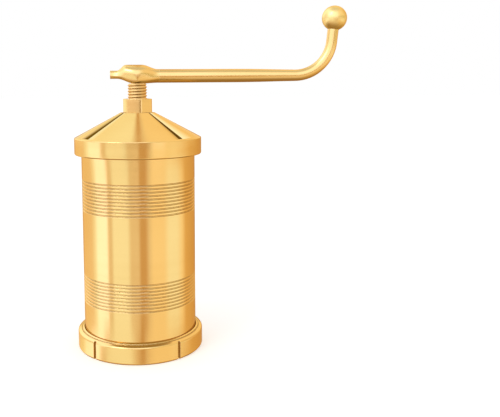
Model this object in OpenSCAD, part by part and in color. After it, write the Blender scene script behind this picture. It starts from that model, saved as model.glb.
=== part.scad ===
// Hand-cranked sevai maker in brass: a barrel between a screwed base ring and a screwed cap,
// a threaded spindle that drives the press plate down on the die, and a bent crank on top.
// Origin: centre of the outlet, on the floor. +Z up the barrel, +X along the crank at rest.

/* [Barrel] */
// Outer diameter of the barrel
barrel_od = 59; // [50:0.5:76]
// Wall thickness of the barrel
barrel_wall = 2.5; // [2:0.1:4]
// Length of the barrel from end to end
barrel_len = 104; // [90:1:160]
// Radial depth of the screw thread at each end
thread_depth = 0.6; // [0.4:0.05:0.8]
// Distance the plain wall runs into the cap and the ring before the thread starts
thread_cover = 1.2; // [0.5:0.1:2]

/* [Groove bands] */
// Distance from one turned groove to the next
groove_pitch = 1.7; // [1.3:0.05:2.2]
// Width of a groove at the surface
groove_w = 0.8; // [0.4:0.05:1]
// Depth of a groove
groove_d = 0.35; // [0.2:0.05:0.6]
// Number of grooves in the upper band
upper_grooves = 10; // [4:1:12]
// Number of grooves in the lower band
lower_grooves = 9; // [4:1:12]
// Distance from the cap's lower edge down to the first groove of the upper band
upper_band_drop = 13; // [8:0.5:20]
// Distance from the base ring's top up to the last groove of the lower band
lower_band_rise = 15.3; // [8:0.1:20]

/* [Cap] */
// Wall of the cap's rim outside the barrel's thread
cap_rim_wall = 3.35; // [2.5:0.05:8]
// Height of the cap's straight rim
cap_rim_h = 8.5; // [6:0.5:14]
// Length of barrel that the rim covers
cap_overlap = 7.7; // [5:0.1:8.2]
// Slope of the conical roof above the horizontal, in degrees
roof_angle = 28.2; // [20:0.1:35]
// Thickness of the roof, square to its slope
cap_wall = 2.4; // [2:0.1:3]
// Width of the flat land that shows round the nut's corners
land_rim = 0.9; // [0.5:0.1:3]
// Radius on the rim's lower edge
cap_edge_r = 0.8; // [0.3:0.1:1.2]
// Angle of the middle of the two front roof grooves, from +X
roof_groove_mid = 263; // [180:1:360]
// Angle between the two front roof grooves
roof_groove_spread = 102; // [60:1:120]
// Depth of a roof groove's crease at the rim
roof_groove_d = 1.7; // [0.5:0.1:1.9]
// Angle that a roof groove spans from shoulder to shoulder
roof_groove_span = 30; // [12:1:36]
// Distance from the end of a roof groove to the rim's face
roof_groove_stop = 1.2; // [0.5:0.1:2]

/* [Base ring] */
// Wall of the ring outside the barrel's thread
ring_wall = 3.35; // [2.5:0.05:8]
// Height of the base ring where it meets the barrel
ring_h = 10.4; // [9:0.1:16]
// Fall of the ring's shoulder from the barrel to the outer face
shoulder_drop = 1.2; // [0.5:0.1:2]
// Radius on the ring's outer edges
ring_edge_r = 0.9; // [0.3:0.1:1.2]
// Width of the turned groove in the ring's shoulder
shoulder_groove_w = 0.7; // [0.4:0.05:0.9]
// Depth of the turned groove in the ring's shoulder
shoulder_groove_d = 0.35; // [0.2:0.05:0.5]
// Thickness of the lip that carries the die
lip_t = 3.2; // [2:0.1:4]
// Step from the barrel's bore in to the edge of the outlet
outlet_step = 2; // [0.5:0.1:4]
// Angle of the middle of the two front slits, from +X
slit_mid = 264.8; // [180:0.1:360]
// Angle between the two front slits
slit_spread = 80; // [60:1:120]
// Width of a slit in the ring's outer face
slit_w = 1.8; // [1:0.1:3]
// Depth of a slit
slit_d = 1; // [0.5:0.1:1.5]

/* [Die] */
// Thickness of the die plate
die_t = 2.2; // [1.5:0.1:3]
// Diameter of one strand hole
strand_d = 1.6; // [1:0.1:2.4]
// Distance from one ring of strand holes to the next
strand_pitch = 4.2; // [3:0.1:4.4]
// Least plain width between the strand holes and the edge of the outlet
strand_margin = 2.4; // [1:0.1:6]

/* [Cap nut] */
// Width of the hexagon nut across its flats
nut_af = 14; // [13:0.5:17]
// Height of the hexagon nut above the land
nut_h = 7.1; // [5:0.1:10]
// Angle of the nut's front corner, from +X
nut_corner = 278; // [240:1:300]
// Wall of the nut's spigot round the spindle
spigot_wall = 1.1; // [0.8:0.1:1.4]
// Outer diameter of the backing ring under the roof
backing_d = 17; // [16:0.5:18]
// Thickness of the backing ring
backing_t = 1.6; // [1:0.1:2.5]
// Height of the lip that is peened over the backing ring
peen_h = 1; // [0.6:0.1:1.5]
// Reach of the peened lip past the spigot
peen_reach = 0.8; // [0.4:0.1:1.2]

/* [Spindle] */
// Outer diameter of the spindle's thread
spindle_d = 10; // [8.5:0.1:10.4]
// Length of thread that shows between the nut and the hub
spindle_shows = 7.8; // [3:0.1:12]
// Diameter of the plain neck that turns in the press plate
neck_d = 7; // [5:0.1:7.4]
// Side of the square tenon in the hub
tenon_w = 6.6; // [5:0.1:7]
// Length of the square tenon
tenon_len = 7; // [5:0.1:7.5]

/* [Press plate] */
// Thickness of the press plate
plate_t = 4; // [3.5:0.1:6]
// Radius on the press plate's edges
plate_edge_r = 0.8; // [0.3:0.1:1.2]
// Diameter of the recess under the press plate
recess_d = 16; // [15:0.5:20]
// Depth of the recess
recess_h = 2.6; // [1.5:0.1:2.8]
// Outer diameter of the boss on the press plate
boss_d = 18; // [14:0.5:22]
// Height of the boss
boss_h = 8; // [5:0.5:12]
// Outer diameter of the thrust washer on the boss
thrust_d = 15; // [13:0.5:16]
// Thickness of the thrust washer
thrust_t = 1.2; // [0.8:0.1:2]
// Outer diameter of the washer in the recess
washer_d = 14; // [12:0.5:14.5]
// Thickness of the washer in the recess
washer_t = 1; // [0.8:0.1:1.4]
// Width of the plate nut across its flats
plate_nut_af = 11; // [10:0.5:12]
// Height of the plate nut
plate_nut_h = 3; // [2:0.1:4]
// Length of the riveted spindle end below the plate nut
rivet_out = 0.6; // [0.3:0.1:1]

/* [Hub] */
// Height of the hub at its middle
hub_h = 9.7; // [9.5:0.1:11]
// Depth of the hub from its front corner to its back corner
hub_depth = 13; // [12:0.1:15]
// Distance from the spindle's axis to the end of the tail
tail_reach = 13.9; // [12:0.1:20]
// Height of the tail's end
tail_h = 4.2; // [3:0.1:5]
// Depth of the tail's end
tail_depth = 4; // [3:0.1:5]
// Distance from the spindle's axis to the rod's seat
rod_seat = 11.5; // [10:0.1:14]

/* [Rod and knob] */
// Diameter of the rod at the hub
rod_d = 7; // [6:0.1:7.2]
// Diameter of the rod at the bend and up to the knob
rod_tip_d = 5.7; // [5:0.1:6]
// Height of the rod's axis above the hub's underside
rod_rise = 3.9; // [3.7:0.1:5]
// Distance from the spindle's axis to the start of the bend
bend_start = 83; // [60:0.5:110]
// Radius of the bend along the rod's axis
bend_r = 19.6; // [14:0.1:26]
// Angle of the bend
bend_angle = 84; // [70:1:90]
// Length from the end of the bend to the knob's centre
stem_len = 12.2; // [10:0.1:20]
// Diameter of the ball knob
knob_d = 13; // [12:0.1:18]
// Diameter of the spigots on both ends of the rod
rod_spigot_d = 4; // [3:0.1:4.6]
// Length of the spigot in the hub
hub_spigot_len = 5.5; // [4:0.1:6]
// Length of the spigot in the knob
knob_spigot_len = 4.5; // [3:0.1:5]

/* [Hidden] */

// Clearances: threaded pieces, running shafts, seated pegs, stacked faces and the piston
thread_clear = 0.15;
run_clear = 0.06;
peg_clear = 0.05;
seat_gap = 0.1;
piston_clear = 0.4;
// Least gap between the hub and the nut, and between the plate's underside and the die
hub_clear = 0.3;
plate_clear = 0.8;
// Overrun of every cut
over = 1;

// Radii of the barrel, its threads and what screws on it
barrel_r = barrel_od / 2;
bore_r = barrel_r - barrel_wall;
thread_root_r = barrel_r - thread_depth;
socket_r = barrel_r + thread_clear;
cap_r = socket_r + cap_rim_wall;
ring_r = socket_r + ring_wall;
outlet_r = bore_r - outlet_step;
land_r = nut_af / 2 / cos(30) + land_rim;

// Heights from the floor up
die_z = lip_t;
die_top_z = die_z + die_t;
barrel_z = die_top_z + seat_gap;
barrel_top_z = barrel_z + barrel_len;
cap_z = barrel_top_z - cap_overlap;
rim_top_z = cap_z + cap_rim_h;
cap_seat_z = barrel_top_z + seat_gap;
roof_rise = (cap_r - land_r) * tan(roof_angle);
land_z = rim_top_z + roof_rise;
roof_drop = cap_wall / cos(roof_angle);
ceiling_z = land_z - roof_drop;
backing_z = ceiling_z - backing_t;
nut_top_z = land_z + nut_h;
hub_z = nut_top_z + spindle_shows;

// Radius inside the seat that the barrel's end meets, and the height of the roof's underside there
seat_inset_share = 1 / 5;
cap_seat_r = bore_r + barrel_wall * seat_inset_share;
ceiling_start_z = rim_top_z + (cap_r - cap_seat_r) * tan(roof_angle) - roof_drop;

// Running and seated radii
spindle_r = spindle_d / 2;
nut_bore_r = spindle_r + run_clear;
spigot_r = nut_bore_r + spigot_wall;
neck_r = neck_d / 2;
neck_bore_r = neck_r + run_clear;

// The press plate's stack at rest: the hub stands spindle_shows above the nut
down_travel = spindle_shows - hub_clear;
recess_stack = recess_h - seat_gap - washer_t - plate_nut_h;
below_plate = rivet_out - recess_stack;
plate_z = die_top_z + plate_clear + below_plate + down_travel;
boss_z = plate_z + plate_t;
thrust_z = boss_z + boss_h + seat_gap;
spindle_z = thrust_z + thrust_t;
washer_z = plate_z + recess_h - seat_gap - washer_t;
plate_nut_z = washer_z - plate_nut_h;
rivet_z = plate_nut_z - rivet_out;

// The crank
rod_r = rod_d / 2;
tip_r = rod_tip_d / 2;
rod_z = hub_z + rod_rise;
knob_r = knob_d / 2;
rod_spigot_r = rod_spigot_d / 2;
// How much slimmer the stem is than the bend, so that its wall starts inside the bend's
stem_step = 0.05;
// Depth of the knob's flat below its centre, where the rod's end is as wide as the flat
knob_flat = sqrt(knob_r * knob_r - tip_r * tip_r);

// Chamfers on the nuts, the tenon and the mouths of the sockets
nut_chamfer = 0.7;
mouth_chamfer = 0.5;

// Radius where the rim turns into the roof, and slope of the ring's shoulder
roof_edge_r = 0.4;
shoulder_angle = atan2(shoulder_drop, ring_wall);

// Outline of one groove as shares of its depth and width
groove_shares = [[0, -1 / 2], [-1, -1 / 5], [-1, 1 / 5], [0, 1 / 2]];
// Place of the groove in the ring's shoulder, from its outer end
shoulder_groove_share = 0.56;
// How many more strand holes each ring has than the ring inside it
strand_step = 6;
// How sharply a roof groove's sides bend to its crease, and the share of its depth that its
// shoulders stand clear of the roof
valley_power = 2.6;
shoulder_share = 0.03;

// Sides and rings of the hub's skin, how square its halves are, and how much of the tail is above
// the rod's axis
hub_sides = 40;
hub_rings = 36;
upper_power = 2;
lower_power = 5;
edge_power = 8;
tail_top_share = 2 / 3;
// Where the hub's level top and underside end and where their slopes run out, from the spindle to
// the tail's end and to the rod's seat
tail_crown_shares = [0.41, 0.75];
tail_keel_shares = [0.1, 0.75];
rod_crown_shares = [0.2, 0.95];

// Sides of a whole circle, of a strand hole, and steps in a rounded edge and a groove's side
$fn = 96;
strand_sides = 16;
arc_steps = 6;
valley_steps = 8;

// Colours of the brass as it is finished
brass = "#e3b45c";
pale_brass = "#efcb7d";
deep_brass = "#cf9a45";

// A quarter-round edge in an outline: from angle a0 to a1 about [x, y]
function edge_arc(x, y, r, a0, a1) =
    [for (i = [0:arc_steps]) let (a = a0 + (a1 - a0) * i / arc_steps) [x + r * cos(a), y + r * sin(a)]];

// Outline points of a band of turned grooves at radius r, upward from the height z of the lowest
function groove_band(r, z, count) =
    [for (i = [0:count - 1], share = groove_shares)
        [r + share[0] * groove_d, z + i * groove_pitch + share[1] * groove_w]];

// Outline points of one turned groove in the straight line from a to b
function line_groove(a, b, share, w, d) =
    let (along = (b - a) / norm(b - a), inward = [-along[1], along[0]], mid = a + share * (b - a))
    [for (s = groove_shares) mid + s[1] * w * along - s[0] * d * inward];

// Ring with a flat section
module washer(outer_r, inner_r, h) {
    difference() {
        cylinder(r = outer_r, h = h);
        translate([0, 0, -over]) cylinder(r = inner_r, h = h + 2 * over);
    }
}

// Hexagon prism of width af across its flats, with its top corners turned off, corner on +X
module hexagon(af, h, chamfer) {
    corner_r = af / 2 / cos(30);
    intersection() {
        cylinder(r = corner_r, h = h, $fn = 6);
        rotate_extrude()
            polygon([[0, 0], [corner_r, 0], [corner_r, h - chamfer / 2], [corner_r - chamfer, h], [0, h]]);
    }
}

// Copies a cut at both front angles and straight across from each
module at_four_angles(mid, spread) {
    for (side = [-1, 1], turn = [0, 180])
        rotate([0, 0, mid + side * spread / 2 + turn]) children();
}

// Base ring: the lip carries the die, the socket takes the barrel's lower thread
module base_ring() {
    shoulder_low = [ring_r - ring_edge_r * (1 - sin(shoulder_angle)),
                    ring_h - shoulder_drop - ring_edge_r * (1 - cos(shoulder_angle))];
    shoulder_top = [socket_r + mouth_chamfer / 2, ring_h];
    color(deep_brass)
    difference() {
        rotate_extrude()
            polygon(concat(
                [[outlet_r, 0]],
                edge_arc(ring_r - ring_edge_r, ring_edge_r, ring_edge_r, -90, 0),
                edge_arc(ring_r - ring_edge_r, ring_h - shoulder_drop - ring_edge_r, ring_edge_r,
                         0, 90 - shoulder_angle),
                line_groove(shoulder_low, shoulder_top, shoulder_groove_share,
                            shoulder_groove_w, shoulder_groove_d),
                [shoulder_top,
                 [socket_r, ring_h - mouth_chamfer / 2],
                 [socket_r, lip_t],
                 [outlet_r, lip_t]]));
        at_four_angles(slit_mid, slit_spread)
            translate([ring_r - slit_d, -slit_w / 2, -over])
                cube([slit_d + over, slit_w, ring_h + 2 * over]);
    }
}

// Places its children at every strand hole: one in the middle, then ring by ring
module at_strand_holes() {
    rings = floor((outlet_r - strand_margin - strand_d / 2) / strand_pitch);
    children();
    for (ring = [1:rings], i = [0:strand_step * ring - 1])
        rotate([0, 0, 360 * i / (strand_step * ring)]) translate([ring * strand_pitch, 0, 0]) children();
}

// Die plate: a disc on the ring's lip, drilled for the strands
module die_plate() {
    die_r = barrel_r - thread_clear;
    color(pale_brass)
    translate([0, 0, die_z])
        difference() {
            rotate_extrude()
                polygon([[0, 0], [die_r - mouth_chamfer, 0], [die_r, mouth_chamfer],
                         [die_r, die_t], [0, die_t]]);
            at_strand_holes()
                translate([0, 0, -over]) cylinder(d = strand_d, h = die_t + 2 * over, $fn = strand_sides);
        }
}

// Barrel: a turned tube with a thread root at each end and two bands of grooves
module barrel() {
    lower_root_z = ring_h - thread_cover;
    upper_root_z = cap_z + thread_cover;
    upper_band_z = cap_z - upper_band_drop - (upper_grooves - 1) * groove_pitch;
    lower_band_z = ring_h + lower_band_rise;
    color(brass)
    rotate_extrude()
        polygon(concat(
            [[bore_r, barrel_z + mouth_chamfer], [bore_r + mouth_chamfer, barrel_z],
             [thread_root_r - mouth_chamfer, barrel_z], [thread_root_r, barrel_z + mouth_chamfer],
             [thread_root_r, lower_root_z], [barrel_r, lower_root_z]],
            groove_band(barrel_r, lower_band_z, lower_grooves),
            groove_band(barrel_r, upper_band_z, upper_grooves),
            [[barrel_r, upper_root_z], [thread_root_r, upper_root_z],
             [thread_root_r, barrel_top_z - mouth_chamfer],
             [thread_root_r - mouth_chamfer, barrel_top_z],
             [bore_r + mouth_chamfer, barrel_top_z], [bore_r, barrel_top_z - mouth_chamfer]]));
}

// Cutter for one roof groove along +X: straight lines from the cone's apex to a creased outline
// near the rim, whose sides bend from level at the shoulders to steepest at the crease
module roof_groove_cut() {
    apex_z = land_z + land_r * tan(roof_angle);
    end_r = cap_r - roof_groove_stop;
    end_z = apex_z - end_r * tan(roof_angle);
    outline = [for (i = [-valley_steps:valley_steps])
        let (
            side_share = i / valley_steps,
            a = side_share * roof_groove_span / 2,
            depth = roof_groove_d * (pow(1 - abs(side_share), valley_power) - shoulder_share)
        )
        [end_r * cos(a), end_r * sin(a), end_z - depth]];
    last = len(outline);
    top = last + 1;
    flanks = [for (i = [1:last - 1]) [0, i, i + 1]];
    wall = [for (i = [1:last - 1]) [top, i + 1, i]];
    polyhedron(points = concat([[0, 0, apex_z]], outline, [[end_r, 0, end_z + 2 * over]]),
               faces = concat(flanks, wall, [[0, top, 1], [0, last, top]]));
}

// Cap: threaded rim, seat for the barrel's end, conical roof with four grooves, land for the nut
module top_cap() {
    color(brass)
    difference() {
        rotate_extrude()
            polygon(concat(
                [[socket_r, cap_z + mouth_chamfer / 2], [socket_r + mouth_chamfer / 2, cap_z]],
                edge_arc(cap_r - cap_edge_r, cap_z + cap_edge_r, cap_edge_r, -90, 0),
                edge_arc(cap_r - roof_edge_r,
                         rim_top_z - roof_edge_r * (1 - sin(roof_angle)) / cos(roof_angle),
                         roof_edge_r, 0, 90 - roof_angle),
                [[land_r, land_z], [spigot_r + peg_clear, land_z],
                 [spigot_r + peg_clear, ceiling_z], [land_r, ceiling_z],
                 [cap_seat_r, ceiling_start_z], [cap_seat_r, cap_seat_z], [socket_r, cap_seat_z]]));
        at_four_angles(roof_groove_mid, roof_groove_spread) roof_groove_cut();
    }
}

// Cap nut: hexagon on the land, spigot through the roof, lip peened over the backing ring
module cap_nut() {
    lip_z = backing_z - peen_h;
    color(pale_brass)
    difference() {
        union() {
            translate([0, 0, land_z]) rotate([0, 0, nut_corner]) hexagon(nut_af, nut_h, nut_chamfer);
            rotate_extrude()
                polygon([[0, lip_z], [spigot_r, lip_z], [spigot_r + peen_reach, lip_z + peen_h],
                         [spigot_r, lip_z + peen_h], [spigot_r, land_z + nut_h / 2],
                         [0, land_z + nut_h / 2]]);
        }
        translate([0, 0, lip_z - over]) cylinder(r = nut_bore_r, h = nut_top_z - lip_z + 2 * over);
    }
}

// Backing ring: spreads the peened lip's grip under the thin roof
module nut_backing_ring() {
    color(deep_brass)
    translate([0, 0, backing_z]) washer(backing_d / 2, spigot_r + peg_clear, backing_t);
}

// Spindle: square tenon, threaded length, plain neck through the press plate, riveted end
module spindle() {
    color(deep_brass)
    union() {
        rotate_extrude()
            polygon([[0, rivet_z], [neck_r - mouth_chamfer, rivet_z], [neck_r, rivet_z + rivet_out],
                     [neck_r, spindle_z], [spindle_r - mouth_chamfer, spindle_z],
                     [spindle_r, spindle_z + mouth_chamfer], [spindle_r, hub_z - mouth_chamfer],
                     [spindle_r - mouth_chamfer, hub_z], [0, hub_z]]);
        translate([-tenon_w / 2, -tenon_w / 2, hub_z - over])
            cube([tenon_w, tenon_w, tenon_len + over]);
    }
}

// Fall from 1 to 0 as t goes from the first share to the second, level at both
function swell(t, shares = [0, 1]) =
    let (u = (t - shares[0]) / (shares[1] - shares[0]))
    (1 + cos(180 * min(max(u, 0), 1))) / 2;

// One ring of the hub's skin at x: height, depth and squareness follow the distance from the middle
function hub_ring(x) =
    let (
        tail = x < 0,
        t = tail ? -x / tail_reach : x / rod_seat,
        s = swell(t),
        crown = swell(t, tail ? tail_crown_shares : rod_crown_shares),
        keel = swell(t, tail ? tail_keel_shares : rod_crown_shares),
        end_top = tail ? rod_rise + tail_h * tail_top_share : rod_rise + rod_r,
        end_low = tail ? rod_rise - tail_h * (1 - tail_top_share) : rod_rise - rod_r,
        end_half = tail ? tail_depth / 2 : rod_r,
        top = end_top + (hub_h - end_top) * crown,
        low = end_low * (1 - keel),
        mid = (top + low) / 2,
        soft_half = end_half + (hub_depth / 2 - end_half) * s,
        sharp_half = end_half + (hub_depth / 2 - end_half) * (1 - t)
    )
    [for (i = [0:hub_sides - 1])
        let (
            a = 360 * i / hub_sides,
            lower = sin(a) < 0,
            power = lower ? upper_power + (lower_power - upper_power) * s : upper_power,
            half = lower ? sharp_half + (soft_half - sharp_half) * pow(1 + sin(a), edge_power) : soft_half,
            c = sign(cos(a)) * pow(abs(cos(a)), 2 / power),
            v = sign(sin(a)) * pow(abs(sin(a)), 2 / power)
        )
        [x, c * half, hub_z + mid + v * (lower ? mid - low : top - mid)]];

// Skin through the rings: triangles round the side, a fan on each end
module hub_skin() {
    xs = [for (i = [0:hub_rings]) -tail_reach + (tail_reach + rod_seat) * i / hub_rings];
    rings = [for (x = xs) hub_ring(x)];
    last = hub_rings * hub_sides;
    sides = [for (r = [0:hub_rings - 1], i = [0:hub_sides - 1])
        let (a = r * hub_sides + i, b = r * hub_sides + (i + 1) % hub_sides)
        each [[a, b, b + hub_sides], [a, b + hub_sides, a + hub_sides]]];
    ends = [[for (i = [hub_sides - 1:-1:0]) i], [for (i = [0:hub_sides - 1]) last + i]];
    polyhedron(points = [for (ring = rings) each ring], faces = concat(sides, ends));
}

// Hub: forged lozenge with a pointed tail, a square socket below and a round one for the rod
module handle_hub() {
    socket_w = tenon_w + 2 * peg_clear;
    color(brass)
    difference() {
        hub_skin();
        translate([-socket_w / 2, -socket_w / 2, hub_z - over])
            cube([socket_w, socket_w, tenon_len + peg_clear + over]);
        translate([rod_seat - hub_spigot_len - peg_clear, 0, rod_z])
            rotate([0, 90, 0])
                cylinder(r = rod_spigot_r + peg_clear, h = hub_spigot_len + peg_clear + over);
    }
}

// Places its children in the plane of the bend, about its centre, with the rod's end at -90 degrees
module in_bend_plane() {
    translate([bend_start, 0, rod_z + bend_r]) rotate([90, 0, 0]) children();
}

// Places its children at the end of the bend, with +Z along the stem
module at_bend_end() {
    in_bend_plane()
        rotate([0, 0, bend_angle - 90]) translate([bend_r, 0, 0]) rotate([-90, 0, 0]) children();
}

// Rod: tapers from the hub, bends up and ends in the knob
module handle_rod() {
    color(brass)
    union() {
        translate([rod_seat - hub_spigot_len, 0, rod_z])
            rotate([0, 90, 0]) cylinder(r = rod_spigot_r, h = hub_spigot_len + over);
        translate([rod_seat, 0, rod_z])
            rotate([0, 90, 0]) cylinder(r1 = rod_r, r2 = tip_r, h = bend_start - rod_seat);
        in_bend_plane()
            rotate([0, 0, -90])
                rotate_extrude(angle = bend_angle) translate([bend_r, 0]) circle(r = tip_r);
        at_bend_end() {
            translate([0, 0, -over]) cylinder(r = tip_r - stem_step, h = stem_len - knob_flat + over);
            translate([0, 0, stem_len - knob_flat - over])
                cylinder(r = rod_spigot_r, h = knob_spigot_len + over);
        }
    }
}

// Ball knob: a ball with a flat and a blind hole for the rod's end
module ball_knob() {
    color(pale_brass)
    at_bend_end()
        translate([0, 0, stem_len])
            difference() {
                sphere(r = knob_r);
                translate([0, 0, -knob_r - over])
                    cylinder(r = knob_r, h = knob_r - knob_flat + over);
                translate([0, 0, -knob_r - over])
                    cylinder(r = rod_spigot_r + peg_clear,
                             h = knob_r - knob_flat + knob_spigot_len + peg_clear + over);
            }
}

// Press plate: a piston with rounded edges and a recess under it for the washer and nut
module press_plate() {
    plate_r = bore_r - piston_clear;
    color(pale_brass)
    translate([0, 0, plate_z])
        rotate_extrude()
            polygon(concat(
                [[neck_bore_r, recess_h], [recess_d / 2, recess_h], [recess_d / 2, 0]],
                edge_arc(plate_r - plate_edge_r, plate_edge_r, plate_edge_r, -90, 0),
                edge_arc(plate_r - plate_edge_r, plate_t - plate_edge_r, plate_edge_r, 0, 90),
                [[neck_bore_r, plate_t]]));
}

// Boss brazed on the press plate: guides the spindle's neck
module plate_boss() {
    color(brass)
    translate([0, 0, boss_z])
        rotate_extrude()
            polygon([[neck_bore_r, 0], [boss_d / 2, 0], [boss_d / 2, boss_h - nut_chamfer],
                     [boss_d / 2 - nut_chamfer, boss_h], [neck_bore_r, boss_h]]);
}

// Thrust washer between the boss and the spindle's shoulder
module thrust_washer() {
    color(deep_brass)
    translate([0, 0, thrust_z]) washer(thrust_d / 2, neck_r + peg_clear, thrust_t);
}

// Washer in the plate's recess
module plate_washer() {
    color(deep_brass)
    translate([0, 0, washer_z]) washer(washer_d / 2, neck_r + peg_clear, washer_t);
}

// Nut that the spindle's end is riveted over
module plate_nut() {
    color(pale_brass)
    translate([0, 0, plate_nut_z + plate_nut_h])
        mirror([0, 0, 1])
            difference() {
                hexagon(plate_nut_af, plate_nut_h, nut_chamfer);
                translate([0, 0, -over]) cylinder(r = neck_r + peg_clear, h = plate_nut_h + 2 * over);
            }
}

base_ring();
die_plate();
barrel();
top_cap();
cap_nut();
nut_backing_ring();
spindle();
handle_hub();
handle_rod();
ball_knob();
press_plate();
plate_boss();
thrust_washer();
plate_washer();
plate_nut();
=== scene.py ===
"""Looks of a hand-cranked brass noodle press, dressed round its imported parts.

Lengths are in metres. The origin is the centre of the outlet on the floor, +Z runs up the barrel
and +X along the crank at rest.
"""

import logging
from dataclasses import dataclass
from enum import Enum
from functools import partialmethod
from math import atan2, ceil, copysign, cos, hypot, pi, radians, sin, tan
from typing import Optional, Sequence

import bmesh
import bpy
from bpy.types import ID, Material, Mesh, Node, NodeSocket, NodeTree, Object
from mathutils import Euler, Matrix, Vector


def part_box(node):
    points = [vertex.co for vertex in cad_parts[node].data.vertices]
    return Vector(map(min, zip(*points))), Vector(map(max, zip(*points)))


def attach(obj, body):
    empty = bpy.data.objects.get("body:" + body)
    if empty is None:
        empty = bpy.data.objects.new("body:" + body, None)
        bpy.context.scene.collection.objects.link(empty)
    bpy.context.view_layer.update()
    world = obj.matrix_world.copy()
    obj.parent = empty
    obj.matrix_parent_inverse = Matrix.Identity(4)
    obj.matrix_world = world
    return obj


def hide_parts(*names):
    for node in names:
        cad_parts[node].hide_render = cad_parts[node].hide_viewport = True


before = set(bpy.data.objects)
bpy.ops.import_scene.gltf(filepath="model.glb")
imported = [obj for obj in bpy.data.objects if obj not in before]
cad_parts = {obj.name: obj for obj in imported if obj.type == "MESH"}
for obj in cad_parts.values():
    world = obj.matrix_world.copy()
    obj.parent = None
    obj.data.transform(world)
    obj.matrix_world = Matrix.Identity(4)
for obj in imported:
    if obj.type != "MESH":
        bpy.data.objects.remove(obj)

LOG = logging.getLogger("press")
MM = 0.001
WELD = 1e-6
WHITE = (1.0, 1.0, 1.0)
Colour = tuple[float, float, float]
Place = tuple[float, float, float]
Point = tuple[float, float]


def linear(hex_code: str) -> Colour:
    """Turns a colour of six hexadecimal digits into the linear light that shaders use."""
    shares = [int(hex_code[i:i + 2], 16) / 255 for i in (0, 2, 4)]
    return tuple(c / 12.92 if c <= 0.04045 else ((c + 0.055) / 1.055) ** 2.4 for c in shares)


class Signal:
    """A value that a socket sends, with operators that add the nodes for their results."""

    def __init__(self, board: "Board", socket: NodeSocket) -> None:
        """Keeps the board and the socket that sends the value."""
        self.board = board
        self.socket = socket

    def apply(self, operation: str, other: object) -> "Signal":
        """Returns what a Math node makes of this and another value."""
        return self.board.math(operation, self, other)

    def __rsub__(self, other: float) -> "Signal":
        """Returns what is left of a plain number."""
        return self.board.math("SUBTRACT", other, self)

    __add__ = partialmethod(apply, "ADD")
    __sub__ = partialmethod(apply, "SUBTRACT")
    __mul__ = partialmethod(apply, "MULTIPLY")
    __truediv__ = partialmethod(apply, "DIVIDE")
    __lt__ = partialmethod(apply, "LESS_THAN")
    __gt__ = partialmethod(apply, "GREATER_THAN")


class Placed:
    """A placed node, whose outputs are signals by name or number."""

    def __init__(self, board: "Board", node: Node) -> None:
        """Keeps the board and the node."""
        self.board = board
        self.node = node

    def __getitem__(self, output: object) -> Signal:
        """Returns one output."""
        return Signal(self.board, self.node.outputs[output])


class Board:
    """A node tree being wired by values and signals."""

    def __init__(self, tree: NodeTree) -> None:
        """Keeps the tree."""
        self.tree = tree

    @classmethod
    def of(cls, owner: ID) -> "Board":
        """Starts the node tree of a material or a world afresh.

        Args:
            owner: The material or world.

        Returns:
            The board of its empty tree.
        """
        owner.use_nodes = True
        owner.node_tree.nodes.clear()
        return cls(owner.node_tree)

    def feed(self, socket: NodeSocket, value: object) -> None:
        """Links a socket to a signal, or sets its own value.

        Args:
            socket: The input to feed.
            value: A signal or a plain value; a colour may leave out its alpha.
        """
        if isinstance(value, Signal):
            self.tree.links.new(value.socket, socket)
        else:
            socket.default_value = (*value, 1) if socket.type == "RGBA" else value

    def node(self, kind: str, inputs: Optional[dict] = None, **settings: object) -> Placed:
        """Adds one node.

        Args:
            kind: Blender's name of the node type.
            inputs: Values or signals by input name or number.
            **settings: Properties of the node.

        Returns:
            The placed node.
        """
        made = self.tree.nodes.new(kind)
        for name, value in settings.items():
            setattr(made, name, value)
        for key, value in (inputs or {}).items():
            self.feed(made.inputs[key], value)
        return Placed(self, made)

    def math(self, operation: str, *values: object) -> Signal:
        """Adds a Math node and returns its result."""
        return self.node("ShaderNodeMath", dict(enumerate(values)), operation=operation)[0]

    def mix(self, share: object, first: object, second: object, blend: str = "MIX") -> Signal:
        """Adds a colour mix and returns its result."""
        inputs = {0: share, 6: first, 7: second}
        return self.node("ShaderNodeMix", inputs, data_type="RGBA", blend_type=blend)[2]

    def spread(self, value: object, low: object, high: object, ends: str = "SMOOTHSTEP") -> Signal:
        """Maps a range to 0 to 1, with soft ends or LINEAR, and returns the result."""
        inputs = {0: value, 1: low, 2: high, 3: 0.0, 4: 1.0}
        return self.node("ShaderNodeMapRange", inputs, interpolation_type=ends)[0]

    def split(self, vector: Signal) -> list[Signal]:
        """Splits a vector and returns its X, Y and Z."""
        parts = self.node("ShaderNodeSeparateXYZ", {0: vector})
        return [parts[i] for i in range(3)]

    def place(self) -> list[Signal]:
        """Returns the X, Y and Z of the shaded point on its object."""
        return self.split(self.node("ShaderNodeTexCoord")["Object"])

    def rise(self) -> Signal:
        """Returns how far the shaded face looks up."""
        return self.split(self.node("ShaderNodeNewGeometry")["Normal"])[2]

    def length(self, x: Signal, y: Signal) -> Signal:
        """Returns the length of a flat vector."""
        return self.math("SQRT", x * x + y * y)

    def choose(self, share: Signal, first: Signal, second: Signal) -> Signal:
        """Returns the first value where the share is 0, and the second where it is 1."""
        return first * (1.0 - share) + second * share


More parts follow.
